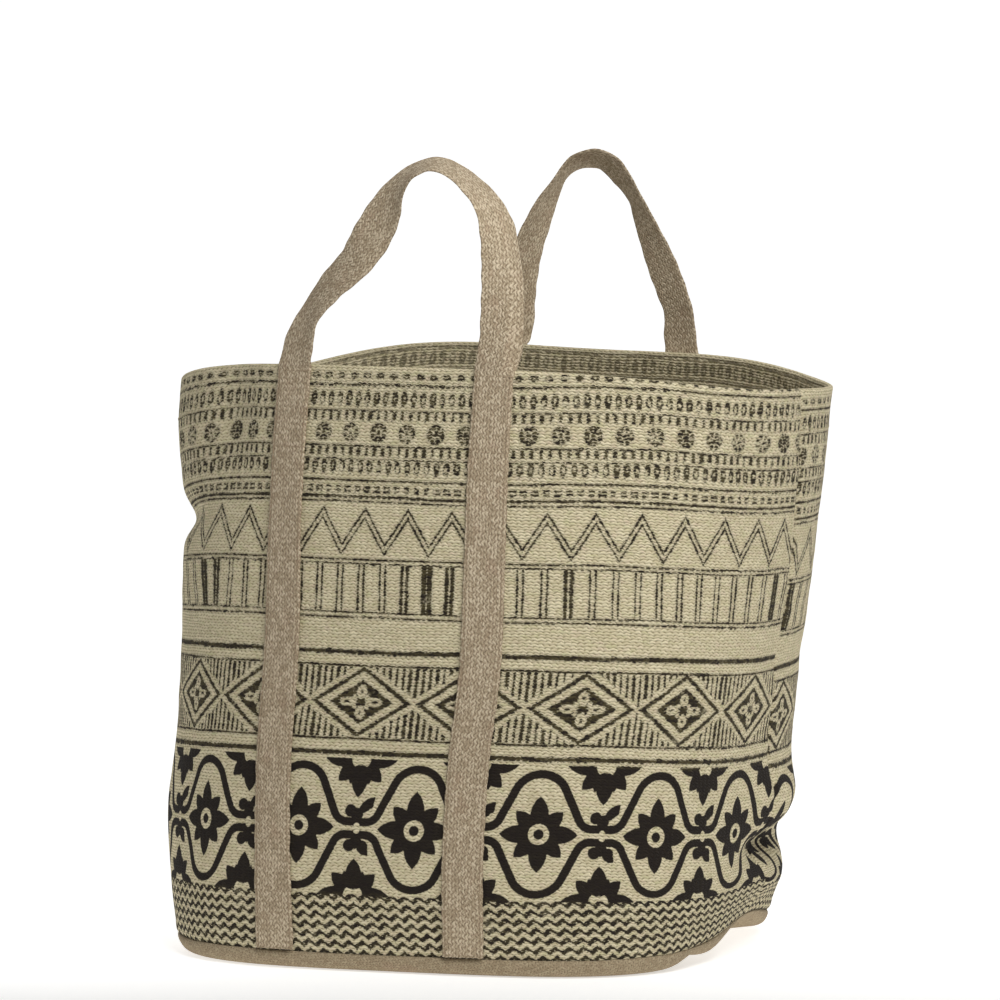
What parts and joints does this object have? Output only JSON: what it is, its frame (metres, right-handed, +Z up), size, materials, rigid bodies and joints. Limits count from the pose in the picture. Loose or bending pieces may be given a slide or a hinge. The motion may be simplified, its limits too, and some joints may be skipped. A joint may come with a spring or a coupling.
{
  "type": "burlap bag",
  "caption": "Large soft burlap shopping bag that stands open on its base, with block-printed panels, a plain jute base and webbing handles.",
  "frame": {"origin": "point on the underside of the flat base, on the ground it stands on, near the middle of the bag", "axes": "+Z up, the front panel faces -Y, +X to the right as seen from the front"},
  "size_m": [0.5289, 0.4253, 0.6205],
  "materials": {
    "printed_burlap": "coarse undyed weave with dark block-printed bands, matt",
    "plain_jute": "plain taupe jute cloth, matt",
    "jute_webbing": "close-woven taupe jute tape, matt"
  },
  "bodies": {
    "root": {"body_front_panel": "printed_burlap", "body_back_panel": "printed_burlap", "base_panel": "plain_jute", "handle_front": "jute_webbing", "handle_back": "jute_webbing"}
  },
  "joints": []
}
